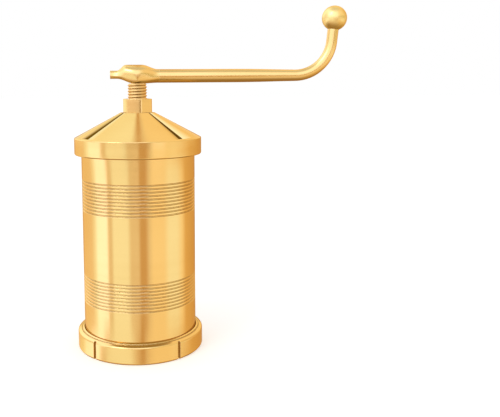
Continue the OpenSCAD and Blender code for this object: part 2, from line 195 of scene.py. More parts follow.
class ShaderGroup:
    """A shader node group that several finishes share."""

    def __init__(self, name: str, inputs: dict[str, float], outputs: Sequence[str]) -> None:
        """Makes the empty group with float sockets.

        Args:
            name: Name of the group.
            inputs: Default values by input name.
            outputs: Names of the outputs.
        """
        self.tree = bpy.data.node_groups.new(name, "ShaderNodeTree")
        for label, value in inputs.items():
            socket = self.tree.interface.new_socket(label, in_out="INPUT", socket_type="NodeSocketFloat")
            socket.default_value = value
        for label in outputs:
            self.tree.interface.new_socket(label, in_out="OUTPUT", socket_type="NodeSocketFloat")
        self.board = Board(self.tree)
        self.given = self.board.node("NodeGroupInput")

    def give(self, **results: Signal) -> "ShaderGroup":
        """Feeds the outputs by name and returns the finished group."""
        self.board.node("NodeGroupOutput", results)
        return self

    def place(self, board: Board, **values: float) -> Placed:
        """Puts the group in a material's tree, with values for its inputs, and returns it."""
        inputs = {name.title(): value for name, value in values.items()}
        return board.node("ShaderNodeGroup", inputs, node_tree=self.tree)


def make_lathe_marks(flat: float = 0.5, broad_rings: float = 9.0) -> ShaderGroup:
    """Builds the rings that a lathe tool leaves round the Z axis.

    Args:
        flat: Rise above which a face counts as flat and is ringed by its radius.
        broad_rings: Fine rings in one broad ring.

    Returns:
        A group with the Height of the fine rings and a Tone of the broad ones.
    """
    group = ShaderGroup("lathe_marks", {"Spacing": 0.4 * MM}, ["Height", "Tone"])
    board = group.board
    x, y, z = board.place()
    level = board.math("ABSOLUTE", board.rise()) > flat
    pitch = (z * (1.0 - level) + board.length(x, y) * level) / group.given["Spacing"]
    fine, broad = (
        board.node("ShaderNodeTexNoise", {"W": feed, "Scale": 1.0, "Detail": detail}, noise_dimensions="1D")
        for feed, detail in ((pitch, 2.0), (pitch / broad_rings, 1.0)))
    return group.give(Height=fine[0], Tone=broad[0])


def make_drawn_marks(stretch: float = 0.05, broad_lines: float = 6.0) -> ShaderGroup:
    """Builds the fine lines that drawing and polishing leave along a bar.

    Args:
        stretch: Width of a line beside its length along X.
        broad_lines: Fine lines in one broad line.

    Returns:
        A group with the Height of the fine lines and a Tone of the broad ones.
    """
    group = ShaderGroup("drawn_marks", {"Spacing": 0.4 * MM}, ["Height", "Tone"])
    board = group.board
    place = board.node("ShaderNodeTexCoord")["Object"]
    stretched = board.node("ShaderNodeMapping", {"Vector": place, "Scale": (stretch, 1.0, 1.0)})[0]
    scale = board.math("DIVIDE", 1.0, group.given["Spacing"])
    fine, broad = (board.node("ShaderNodeTexNoise", {"Vector": stretched, "Scale": size, "Detail": detail})
                   for size, detail in ((scale, 2.0), (scale / broad_lines, 1.0)))
    return group.give(Height=fine[0], Tone=broad[0])


def make_edge_wear() -> ShaderGroup:
    """Builds the mask of edges that cloth and hands rub bright.

    Returns:
        A group with the mask as Edge.
    """
    group = ShaderGroup("edge_wear", {"Reach": 0.5 * MM, "Gain": 3.0}, ["Edge"])
    board = group.board
    flat = board.node("ShaderNodeNewGeometry")["Normal"]
    rounded = board.node("ShaderNodeBevel", {"Radius": group.given["Reach"]}, samples=6)[0]
    along = board.node("ShaderNodeVectorMath", {0: flat, 1: rounded}, operation="DOT_PRODUCT")["Value"]
    turned = (1.0 - along) * group.given["Gain"]
    return group.give(Edge=board.math("MINIMUM", board.math("MAXIMUM", turned, 0.0), 1.0))


def make_crevices(clean: float = 0.8, dark: float = 0.3) -> ShaderGroup:
    """Builds the ambient-occlusion mask of slits and creases, used as painted shade where little light
    reaches.

    Args:
        clean: Share of open air at which the painted shade ends.
        dark: Share of open air at which it is full.

    Returns:
        A group with the mask as Crevice.
    """
    group = ShaderGroup("crevices", {"Reach": 1.2 * MM}, ["Crevice"])
    open_share = group.board.node("ShaderNodeAmbientOcclusion", {"Distance": group.given["Reach"]},
                                  samples=8, only_local=True)["AO"]
    return group.give(Crevice=group.board.spread(open_share, clean, dark))


def make_roof_creases() -> ShaderGroup:
    """Builds the masks of painted shade and painted highlight beside the creases of the cap's four grooves.

    Its angles are in degrees past a crease. The painted shade grows from Shade Span before the crease,
    is full from Shade Start and ends at Shade End. The painted highlight begins there, is full up to
    Shine Full and fades out at Shine Span.

    Returns:
        A group with Shade, painted shade darkening towards a crease from one side, and Shine, painted
        highlight on the other.
    """
    group = ShaderGroup("roof_creases", {
        "Middle": 263.0, "Half Spread": 51.0, "Reach": 31.6 * MM, "Steep": 0.3, "Shade Span": 14.0,
        "Shade Start": -2.4, "Shade End": 2.2, "Shade Power": 3.0, "Shine Span": 15.0, "Shine Full": 4.0},
        ["Shade", "Shine"])
    board, given = group.board, group.given
    x, y, _ = board.place()
    turn = board.math("ARCTAN2", y, x) * (180 / pi)
    half_turn = board.math("FLOORED_MODULO", turn - given["Middle"], 180.0)
    roof = (board.length(x, y) < given["Reach"]) * (board.rise() > given["Steep"])
    shades, shines = [], []
    for crease in (given["Half Spread"], 180.0 - given["Half Spread"]):
        past = half_turn - crease
        before = past < given["Shade End"]
        ramp = board.spread(past, given["Shade Span"] * -1.0, given["Shade Start"], "LINEAR")
        shades.append(board.math("POWER", ramp, given["Shade Power"]) * before)
        glow = board.spread(past, given["Shine Span"], given["Shine Full"], "LINEAR")
        shines.append(glow * (1.0 - before))
    shade, shine = (board.math("MAXIMUM", *sides) * roof for sides in (shades, shines))
    return group.give(Shade=shade, Shine=shine)


def make_handling(smudged: Point = (0.45, 0.72), drifted: Point = (0.3, 0.7)) -> ShaderGroup:
    """Builds what hands leave on brass: soft smudges and a slow drift of tone.

    Args:
        smudged: Noise at which a smudge begins, and at which it is full.
        drifted: The same for the drift of tone.

    Returns:
        A group with the masks Smudge and Drift.
    """
    group = ShaderGroup("handling", {"Smudge Scale": 60.0, "Drift Scale": 22.0}, ["Smudge", "Drift"])
    board = group.board
    place = board.node("ShaderNodeTexCoord")["Object"]
    smudge = board.node("ShaderNodeTexNoise", {
        "Vector": place, "Scale": group.given["Smudge Scale"], "Detail": 4.0, "Roughness": 0.6})[0]
    drift = board.node("ShaderNodeTexNoise", {
        "Vector": place, "Scale": group.given["Drift Scale"], "Detail": 2.0})[0]
    return group.give(Smudge=board.spread(smudge, *smudged), Drift=board.spread(drift, *drifted))


class Marks(Enum):
    """The tool marks that a finish shows."""

    TURNED = "turned"
    DRAWN = "drawn"


@dataclass(frozen=True)
class BrassFinish:
    """One finish of brass: its colour, its polish and its tool marks.

    Attributes:
        name: Name of the material.
        colour: Colour of the clean metal.
        roughness: Roughness between the marks.
        marks: Kind of tool mark.
        spacing: Spacing of the fine marks.
        depth: Height of the fine marks.
        worn: Colour of the rubbed edges.
        wear: How much of the rubbed colour an edge shows.
        hollow_shade_colour: Colour of the painted shade in the crevices.
        edge_radius: Radius to which the edges are broken.
        rim: Tint of what it mirrors at a glancing angle.
        creased: Whether painted shade and painted highlight are laid beside the roof's creases.
        shine: Colour of the painted highlight on the bright side of a crease.
        shade: Colour of the painted shade on its dark side.
        deepen: Share of the clean colour that the deeper tone keeps.
        mark_tone: How much of the deeper tone the broad marks show.
        hollow_shade_share: How much of the painted shade's colour a crevice shows.
        smudge_rough: Roughness that a smudge adds.
        mark_rough: Roughness that the broad marks add.
        mean_rough: What both add on average.
    """

    name: str
    colour: str
    roughness: float
    marks: Marks = Marks.TURNED
    spacing: float = 0.35 * MM
    depth: float = 0.0012 * MM
    worn: str = "fff0bd"
    wear: float = 0.5
    hollow_shade_colour: str = "85590f"
    edge_radius: float = 0.25 * MM
    rim: str = "fae8c4"
    creased: bool = False
    shine: str = "fff6cc"
    shade: str = "6e4c08"
    deepen: Colour = (0.95, 0.91, 0.84)
    mark_tone: float = 0.25
    hollow_shade_share: float = 0.85
    smudge_rough: float = 0.05
    mark_rough: float = 0.06
    mean_rough: float = 0.03

    def material(self, groups: dict[str, ShaderGroup]) -> Material:
        """Builds the material.

        Args:
            groups: The shared shader groups by name.

        Returns:
            The material, ready for a piece.
        """
        made = bpy.data.materials.new(self.name)
        board = Board.of(made)
        marks = groups[self.marks.value].place(board, spacing=self.spacing)
        edge, hand, crevice = (groups[name].place(board) for name in ("edge", "handling", "crevices"))
        clean = linear(self.colour)
        deep = tuple(c * share for c, share in zip(clean, self.deepen))
        tone = board.mix(marks["Tone"] * self.mark_tone, board.mix(hand["Drift"], clean, deep), deep)
        tone = board.mix(edge["Edge"] * self.wear, tone, linear(self.worn))
        # The cap's roof gets painted highlight and painted shade beside its creases.
        if self.creased:
            creases = groups["creases"].place(board)
            tone = board.mix(creases["Shine"], tone, linear(self.shine))
            tone = board.mix(creases["Shade"], tone, linear(self.shade))
        # Painted shade in slits and creases, from the ambient-occlusion mask.
        tone = board.mix(crevice["Crevice"] * self.hollow_shade_share, tone, linear(self.hollow_shade_colour))
        rough = (hand["Smudge"] * self.smudge_rough + marks["Tone"] * self.mark_rough
                 + (self.roughness - self.mean_rough))
        soft_edge = board.node("ShaderNodeBevel", {"Radius": self.edge_radius}, samples=6)[0]
        bump = board.node("ShaderNodeBump", {
            "Height": marks["Height"], "Distance": self.depth, "Strength": 1.0, "Normal": soft_edge})[0]
        shader = board.node("ShaderNodeBsdfPrincipled", {
            "Base Color": tone, "Metallic": 1.0, "Roughness": rough, "Specular Tint": linear(self.rim),
            "Normal": bump})[0]
        board.node("ShaderNodeOutputMaterial", {"Surface": shader})
        return made


FINISHES = (
    BrassFinish("barrel_brass", "f6d38e", 0.11),
    # The cap carries painted shade and painted highlight beside its roof creases.
    BrassFinish("cap_brass", "f6d38c", 0.11, wear=0.25, edge_radius=0.15 * MM, creased=True),
    BrassFinish("ring_brass", "f5d18a", 0.12),
    BrassFinish("nut_brass", "f4cf88", 0.15, spacing=0.5 * MM),
    # The spindle's painted shade in its thread roots is lighter.
    BrassFinish("spindle_brass", "f5cd8a", 0.4, spacing=0.2 * MM, hollow_shade_colour="b07c38", edge_radius=0.1 * MM),
    BrassFinish("handle_brass", "f6d38c", 0.23, marks=Marks.DRAWN, depth=0.0003 * MM,
                edge_radius=0.15 * MM),
    # Brass of its own colour, made paler than the rest as a painted highlight that brightens the knob.
    BrassFinish("knob_brass", "ffe49c", 0.36, marks=Marks.DRAWN, depth=0.0001 * MM),
    BrassFinish("plate_brass", "e6b668", 0.22, depth=0.002 * MM),
    BrassFinish("die_brass", "e6b668", 0.22, depth=0.002 * MM),
    BrassFinish("washer_brass", "e2b060", 0.24, depth=0.002 * MM),
)


class Workshop:
    """Makes the shared groups and materials once, and dresses pieces with them."""

    def __init__(self) -> None:
        """Builds every shader group and finish."""
        groups = {"turned": make_lathe_marks(), "drawn": make_drawn_marks(), "edge": make_edge_wear(),
                  "handling": make_handling(), "crevices": make_crevices(), "creases": make_roof_creases()}
        self.materials = {finish.name: finish.material(groups) for finish in FINISHES}

    def finish(self, piece: Object, slot: str) -> None:
        """Gives a piece the material of its slot.

        Args:
            piece: The piece.
            slot: Name of the slot.
        """
        piece.data.materials.clear()
        piece.data.materials.append(self.materials[slot])
        LOG.info("finished %s in %s", piece.name, slot)

    def dress_nodes(self, slot: str, *nodes: str) -> None:
        """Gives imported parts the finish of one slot."""
        for node in nodes:
            self.finish(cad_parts[node], slot)

    def dress_piece(self, piece: Object, body: str, slot: str, *stands_for: str,
                    mirrored: bool = True) -> None:
        """Gives a new piece its finish and its body.

        Args:
            piece: The new piece.
            body: Body that it moves with.
            slot: Name of the material slot.
            *stands_for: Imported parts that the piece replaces.
            mirrored: Whether other metal mirrors it.
        """
        piece.visible_glossy = mirrored
        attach(piece, body)
        self.finish(piece, slot)
        if stands_for:
            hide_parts(*stands_for)


def new_object(name: str, data: ID) -> Object:
    """Links a mesh, light or camera as an object at the origin.

    Args:
        name: Name of the object.
        data: Its data.

    Returns:
        The object; a piece still needs a body and a finish.
    """
    piece = bpy.data.objects.new(name, data)
    bpy.context.scene.collection.objects.link(piece)
    return piece


def settle(name: str, work: bmesh.types.BMesh) -> Object:
    """Turns finished mesh work into a new piece.

    Args:
        name: Name of the piece.
        work: The mesh work, which this ends.

    Returns:
        The piece.
    """
    mesh = bpy.data.meshes.new(name)
    work.to_mesh(mesh)
    work.free()
    return new_object(name, mesh)


def tidy_shell(mesh: Mesh, sharp_degrees: float) -> None:
    """Welds a mesh, points its faces outwards and smooths it up to an angle.

    Args:
        mesh: The mesh to tidy.
        sharp_degrees: Edges that turn more than this stay sharp.
    """
    work = bmesh.new()
    work.from_mesh(mesh)
    bmesh.ops.remove_doubles(work, verts=work.verts, dist=WELD)
    bmesh.ops.dissolve_degenerate(work, edges=work.edges, dist=WELD)
    bmesh.ops.recalc_face_normals(work, faces=work.faces)
    work.to_mesh(mesh)
    work.free()
    mesh.shade_smooth()
    mesh.set_sharp_from_angle(angle=radians(sharp_degrees))


def shell(name: str, points: Sequence, faces: Sequence, sharp_degrees: float) -> Object:
    """Makes a welded and smoothed piece.

    Args:
        name: Name of the piece.
        points: Its points.
        faces: Its faces as the numbers of their points.
        sharp_degrees: Edges that turn more than this stay sharp.

    Returns:
        The piece.
    """
    mesh = bpy.data.meshes.new(name)
    mesh.from_pydata(points, [], faces)
    tidy_shell(mesh, sharp_degrees)
    return new_object(name, mesh)


def hoops(rings: int, around: int, closed: bool = False) -> list[tuple[int, ...]]:
    """Lists the faces between rings of points, and from the last ring to the first where closed."""
    return [(row * around + i, row * around + (i + 1) % around,
             (row + 1) % rings * around + (i + 1) % around, (row + 1) % rings * around + i)
            for row in range(rings if closed else rings - 1) for i in range(around)]


def lathe(name: str, profile: Sequence[Point], segments: int = 64, sharp_degrees: float = 30) -> Object:
    """Turns a closed shape round the Z axis.

    Args:
        name: Name of the piece.
        profile: Radius and height of each point, from axis to axis.
        segments: Steps round the axis.
        sharp_degrees: Edges that turn more than this stay sharp.

    Returns:
        The turned piece.
    """
    turns = [2 * pi * i / segments for i in range(segments)]
    points = [(radius * cos(turn), radius * sin(turn), height)
              for radius, height in profile for turn in turns]
    return shell(name, points, hoops(len(profile), segments), sharp_degrees)


@dataclass
class ScrewThread:
    """A screw thread round the Z axis, made by geometry nodes.

    Attributes:
        name: Name of the piece.
        crest: Radius of the crest.
        root: Radius of the root.
        wall: Radius that closes the far side, or 0 for a solid rod.
        low: Height of the lower end.
        high: Height of the upper end.
        pitch: Rise of one turn.
        start: Turn by which the thread is advanced.
        flank: Shares of the pitch, from the root's middle, where a flank begins and ends.
        around: Points round one turn.
        steps: Rows of points in one pitch.
    """

    name: str
    crest: float
    root: float
    wall: float
    low: float
    high: float
    pitch: float = 1.5 * MM
    start: float = 0.0
    flank: Point = (0.06, 0.42)
    around: int = 64
    steps: int = 8

    def rows(self) -> int:
        """Returns the number of rows along the thread, without its ends."""
        return (ceil((self.high - self.low) / self.pitch) + 2) * self.steps + 1

    def wind(self, board: Board, given: Placed) -> tuple[Signal, Signal]:
        """Works out where the points of a flat grid go.

        The row before the thread closes its lower end. The row after it closes its upper end, and
        where there is a wall, one more row closes the far side.

        Args:
            board: The board of the geometry nodes.
            given: Its named inputs.

        Returns:
            The number of rows, and the place of each point.
        """
        rows = given["rows"] + 2.0 + (given["wall"] > 0.0)
        x, y, _ = board.split(board.node("GeometryNodeInputPosition")[0])
        turn = x + 0.5
        row = board.math("ROUND", (y + 0.5) * (rows - 1.0))
        along = (row - 1.0) / given["steps"]
        climb = (along + turn - 1.0) * given["pitch"]
        height = given["low"] + (climb - given["start"] * given["pitch"])
        height = board.math("MINIMUM", board.math("MAXIMUM", height, given["low"]), given["high"])
        depth = given["crest"] - given["root"]
        rise = depth * board.spread(board.math("PINGPONG", along, 0.5), *self.flank, "LINEAR")
        room = board.math("MINIMUM", height - given["low"], given["high"] - height)
        lead = board.math("MINIMUM", board.math("ABSOLUTE", depth), board.math("MAXIMUM", room, 0.0))
        lead = lead * board.math("SIGN", depth)
        fits = board.math("ABSOLUTE", rise) < board.math("ABSOLUTE", lead)
        first = row < 0.5
        outside = board.math("MAXIMUM", first, row > given["rows"] + 0.5)
        under = board.math("MAXIMUM", first, row > given["rows"] + 1.5)
        radius = board.choose(outside, given["root"] + board.choose(fits, lead, rise), given["wall"])
        angle = turn * (2 * pi)
        place = board.node("ShaderNodeCombineXYZ", {
            0: radius * board.math("COSINE", angle), 1: radius * board.math("SINE", angle),
            2: board.choose(under, height, given["low"])})
        return rows, place[0]

    def tree(self, values: dict[str, object]) -> tuple[NodeTree, dict[str, str]]:
        """Builds the geometry nodes.

        Args:
            values: The value that each named input is going to have.

        Returns:
            The tree, and the identifier of each named input.
        """
        kinds = {int: "NodeSocketInt", float: "NodeSocketFloat", Material: "NodeSocketMaterial"}
        tree = bpy.data.node_groups.new(self.name + "_nodes", "GeometryNodeTree")
        add = tree.interface.new_socket
        ids = {label: add(label, in_out="INPUT", socket_type=kinds[type(value)]).identifier
               for label, value in values.items()}
        add("Geometry", in_out="OUTPUT", socket_type="NodeSocketGeometry")
        board = Board(tree)
        given = board.node("NodeGroupInput")
        rows, place = self.wind(board, given)
        grid = board.node("GeometryNodeMeshGrid", {
            "Size X": 1.0, "Size Y": 1.0, "Vertices X": given["around"], "Vertices Y": rows})
        wound = board.node("GeometryNodeSetPosition", {"Geometry": grid["Mesh"], "Position": place})
        welded = board.node("GeometryNodeMergeByDistance", {"Geometry": wound[0], "Distance": WELD})
        real = board.node("GeometryNodeRealizeInstances", {0: welded[0]})
        finished = board.node("GeometryNodeSetMaterial", {"Geometry": real[0], "Material": given["finish"]})
        board.node("NodeGroupOutput", {0: finished[0]})
        return tree, ids

    def build(self, finish: Material, sharp_degrees: float = 50) -> Object:
        """Runs the nodes and keeps the thread as a plain mesh.

        Args:
            finish: Material of the thread.
            sharp_degrees: Edges that turn more than this stay sharp.

        Returns:
            The thread, which still needs a body.
        """
        values = {label: value for label, value in vars(self).items() if isinstance(value, (int, float))}
        values |= {"around": self.around + 1, "rows": self.rows(), "finish": finish}
        maker = new_object(self.name + "_maker", bpy.data.meshes.new(self.name + "_maker"))
        modifier = maker.modifiers.new("thread", "NODES")
        modifier.node_group, ids = self.tree(values)
        for label, value in values.items():
            modifier[ids[label]] = value
        mesh = bpy.data.meshes.new_from_object(maker.evaluated_get(bpy.context.evaluated_depsgraph_get()))
        mesh.name = self.name
        maker.modifiers.remove(modifier)
        bpy.data.objects.remove(maker)
        tidy_shell(mesh, sharp_degrees)
        return new_object(self.name, mesh)


def join(name: str, *pieces: Object) -> Object:
    """Joins closed shells into one piece.

    Args:
        name: Name of the new piece.
        *pieces: The shells, which are used up.

    Returns:
        The new piece.
    """
    work = bmesh.new()
    for piece in pieces:
        work.from_mesh(piece.data)
        bpy.data.objects.remove(piece)
    return settle(name, work)


def box_piece(name: str, low: Vector, high: Vector) -> Object:
    """Makes a closed box.

    Args:
        name: Name of the piece.
        low: Its lowest corner.
        high: Its highest corner.

    Returns:
        The box.
    """
    work = bmesh.new()
    bmesh.ops.create_cube(work, size=1.0)
    for corner in work.verts:
        corner.co = Vector(low[i] + (high[i] - low[i]) * (corner.co[i] + 0.5) for i in range(3))
    return settle(name, work)


def radius_of(node: str) -> float:
    """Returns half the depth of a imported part's box, measured along Y."""
    low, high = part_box(node)
    return (high.y - low.y) / 2


def beyond(point: Vector, bearing: float) -> float:
    """Returns the angle in radians from a bearing in degrees to a point, up to half a turn either way."""
    return (atan2(point.y, point.x) - radians(bearing) + pi) % (2 * pi) - pi


@dataclass
class RoofGrooves:
    """The four creased valleys in the cap's roof.

    Attributes:
        middle: Angle of the middle of the front two.
        half_spread: Half the angle between the front two.
        span: Angle of a valley from shoulder to shoulder.
        depth: Depth of the crease at the rim.
        stop: Distance from a valley's end to the rim's face.
        slope: Slope of the roof.
        power: How sharply the sides bend to the crease.
        reach: Share of a valley's half angle within which a face is taken as its own.
        slopes: Rises between which a direction belongs to the slopes, not to the flat land.
    """

    middle: float = 263.0
    half_spread: float = 51.0
    span: float = 30.0
    depth: float = 1.7 * MM
    stop: float = 1.2 * MM
    slope: float = 28.2
    power: float = 2.6
    reach: float = 1.01
    slopes: Point = (0.3, 0.97)

    def normal(self, point: Vector, side: Vector, end: float) -> Vector:
        """Works out the direction that a valley's side faces.

        Args:
            point: A point on the roof.
            side: A point in the face that the point belongs to.
            end: Radius at which the valleys end.

        Returns:
            The direction, of length 1.
        """
        angle = atan2(point.y, point.x)
        half = radians(self.span / 2)
        fall = tilt = 0.0
        for crease in (self.middle + k * self.half_spread + turn for k in (-1, 1) for turn in (0, 180)):
            beside = beyond(side, crease)
            if abs(beside) < half * self.reach:
                left = max(1 - abs(beyond(point, crease)) / half, 0.0)
                fall = self.depth * left ** self.power
                tilt = -copysign(self.depth * self.power * left ** (self.power - 1) / half, beside)
        out = tan(radians(self.slope)) + fall / end
        return Vector((out * cos(angle) - tilt / end * sin(angle),
                       out * sin(angle) + tilt / end * cos(angle), 1.0)).normalized()

    def smooth(self, mesh: Mesh) -> None:
        """Lets the valleys' flat facets shade as curved sides that meet in a crease.

        Args:
            mesh: The cap's mesh.
        """
        end = radius_of("top_cap") - self.stop
        normals = [Vector(corner.vector) for corner in mesh.corner_normals]
        roof_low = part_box("top_cap")[1].z - end * tan(radians(self.slope))
        for face in mesh.polygons:
            middle = face.center
            if face.normal.z < self.slopes[0] or middle.z < roof_low or middle.xy.length > end:
                continue
            for corner in face.loop_indices:
                point = mesh.vertices[mesh.loops[corner].vertex_index].co
                if self.slopes[0] < normals[corner].z < self.slopes[1]:
                    normals[corner] = self.normal(point, middle, end)
        mesh.shade_smooth()
        mesh.normals_split_custom_set(normals)


@dataclass
class Body:
    """The barrel between its two screwed ends, and the die.

    Attributes:
        thread_depth: Depth of the thread on the barrel's ends.
        cover: Length of plain wall inside the cap and the ring.
        clearance: Radial clearance of the threads.
        sunk: How far a thread's base lies inside the wall that carries it.
        relief: Plain length between a thread's end and the next face.
        around: Points round one turn of a thread.
    """

    thread_depth: float = 0.6 * MM
    cover: float = 1.2 * MM
    clearance: float = 0.15 * MM
    sunk: float = 0.3 * MM
    relief: float = 0.4 * MM
    around: int = 96

    def dress(self, shop: Workshop) -> None:
        """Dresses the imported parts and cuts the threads.

        Args:
            shop: The workshop.
        """
        shop.dress_nodes("barrel_brass", "barrel")
        shop.dress_nodes("ring_brass", "base_ring")
        shop.dress_nodes("die_brass", "die_plate")
        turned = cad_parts["top_cap"].data.copy()
        turned.name = "turned_cap"
        RoofGrooves().smooth(turned)
        shop.dress_piece(new_object("turned_cap", turned), "cap", "cap_brass", "top_cap")
        self.cut_threads(shop)

    def cut_threads(self, shop: Workshop) -> None:
        """Makes the barrel's two threads and those that they screw into.

        Args:
            shop: The workshop.
        """
        barrel_low, barrel_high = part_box("barrel")
        ring_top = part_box("base_ring")[1].z
        cap_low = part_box("top_cap")[0].z
        root = radius_of("barrel") - self.thread_depth
        crest = root + self.thread_depth - self.clearance
        socket = radius_of("barrel") + self.clearance
        nut_crest = socket - self.thread_depth + self.clearance
        ends = (
            ("lower", "base", "ring_brass", barrel_low.z, ring_top - self.cover),
            ("upper", "cap", "cap_brass", cap_low + self.cover, barrel_high.z))
        for end, body, slot, low, high in ends:
            reach = {"low": low + self.relief, "high": high - self.relief, "around": self.around}
            outer = ScrewThread(f"barrel_thread_{end}", crest, root, root - self.sunk, **reach)
            shop.dress_piece(outer.build(shop.materials["barrel_brass"]), "barrel", "barrel_brass")
            inner = ScrewThread(f"{body}_thread", nut_crest, socket, socket + self.sunk, start=0.5, **reach)
            shop.dress_piece(inner.build(shop.materials[slot]), body, slot)


@dataclass
class Screw:
    """The spindle with its nut, and what holds the press plate on it.

    Attributes:
        thread_depth: Depth of the spindle's thread.
        neck_share: Radius of the neck beside that of the plate's nut.
        neck_chamfer: Chamfer on the neck's riveted end.
        tenon: Half the width of the square tenon.
        sunk: How far one shell of the spindle runs into the next.
        nut_flats: Width of the nut across its flats.
        nut_corner: Angle of the nut's front corner.
        corner_radius: Radius that wear has put on the nut's corners.
        nut_chamfer: Width of the chamfer on top of the nut's corners.
        chamfer_fall: How far the chamfer falls in its width.
        nut_clearance: Radial clearance of the spindle in the nut.
        spigot_wall: Wall of the nut's spigot under the roof.
        peen_reach: Reach of the spigot's peened lip.
        sharp_degrees: Edges of the nut that turn more than this stay sharp.
    """

    thread_depth: float = 0.6 * MM
    neck_share: float = 7 / 11
    neck_chamfer: float = 0.5 * MM
    tenon: float = 3.3 * MM
    sunk: float = 0.5 * MM
    nut_flats: float = 14 * MM
    nut_corner: float = 283.5
    corner_radius: float = 2.4 * MM
    nut_chamfer: float = 0.7 * MM
    chamfer_fall: float = 0.5
    nut_clearance: float = 0.06 * MM
    spigot_wall: float = 1.1 * MM
    peen_reach: float = 0.8 * MM
    sharp_degrees: float = 20.0

    def dress(self, shop: Workshop) -> None:
        """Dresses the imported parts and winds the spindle's thread.

        Args:
            shop: The workshop.
        """
        self.mill_nut(shop)
        shop.dress_nodes("plate_brass", "press_plate", "plate_boss")
        shop.dress_nodes("washer_brass", "nut_backing_ring", "thrust_washer", "plate_washer", "plate_nut")
        self.wind_spindle(shop)

    def nut_outline(self, steps: int = 10) -> list[Point]:
        """Draws the hexagon with its rounded corners.

        Args:
            steps: Steps round one corner.

        Returns:
            Angle and radius of each point.
        """
        centre = (self.nut_flats / 2 - self.corner_radius) / cos(pi / 6)
        outline = []
        for corner in range(6):
            base = radians(self.nut_corner + 60 * corner)
            for step in range(steps + 1):
                turn = base + radians(-30 + 60 * step / steps)
                x = centre * cos(base) + self.corner_radius * cos(turn)
                y = centre * sin(base) + self.corner_radius * sin(turn)
                outline.append((atan2(y, x), hypot(x, y)))
        return outline

    def mill_nut(self, shop: Workshop) -> None:
        """Makes the cap's nut with rounded corners, its spigot and its peened lip.

        Args:
            shop: The workshop.
        """
        low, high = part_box("cap_nut")
        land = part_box("top_cap")[1].z
        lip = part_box("nut_backing_ring")[0].z
        bore = radius_of("spindle") + self.nut_clearance
        spigot = bore + self.spigot_wall
        flat = self.nut_flats / 2 / cos(pi / 6) - self.nut_chamfer
        turns, reaches = zip(*self.nut_outline())
        round_rows = ((bore, low.z), (spigot, low.z), (spigot + self.peen_reach, lip), (spigot, lip),
                      (spigot, land))
        rows = [[row] * len(turns) for row in round_rows]
        rows.append([(reach, land) for reach in reaches])
        rows.append([(reach, high.z - max(reach - flat, 0.0) * self.chamfer_fall) for reach in reaches])
        rows.append([(min(reach, flat), high.z) for reach in reaches])
        rows.append([(bore, high.z)] * len(turns))
        points = [(radius * cos(turn), radius * sin(turn), height)
                  for row in rows for (radius, height), turn in zip(row, turns)]
        nut = shell("milled_nut", points, hoops(len(rows), len(turns), closed=True), self.sharp_degrees)
        shop.dress_piece(nut, "cap", "nut_brass", "cap_nut", mirrored=False)

    def wind_spindle(self, shop: Workshop) -> None:
        """Makes the spindle: a threaded rod, its neck below and its square tenon above.

        Args:
            shop: The workshop.
        """
        low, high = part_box("spindle")
        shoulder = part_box("thrust_washer")[1].z
        hub_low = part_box("handle_hub")[0].z
        crest = radius_of("spindle")
        rod = ScrewThread("threaded_rod", crest, crest - self.thread_depth, 0.0, shoulder, hub_low)
        neck_r = radius_of("plate_nut") * self.neck_share
        neck = lathe("neck", [
            (0, low.z), (neck_r - self.neck_chamfer, low.z), (neck_r, low.z + self.neck_chamfer),
            (neck_r, shoulder + self.sunk), (0, shoulder + self.sunk)])
        tenon = box_piece("tenon", Vector((-self.tenon, -self.tenon, hub_low - self.sunk)),
                          Vector((self.tenon, self.tenon, high.z)))
        spindle = join("threaded_spindle", rod.build(shop.materials["spindle_brass"]), neck, tenon)
        shop.dress_piece(spindle, "crank", "spindle_brass", "spindle", mirrored=False)


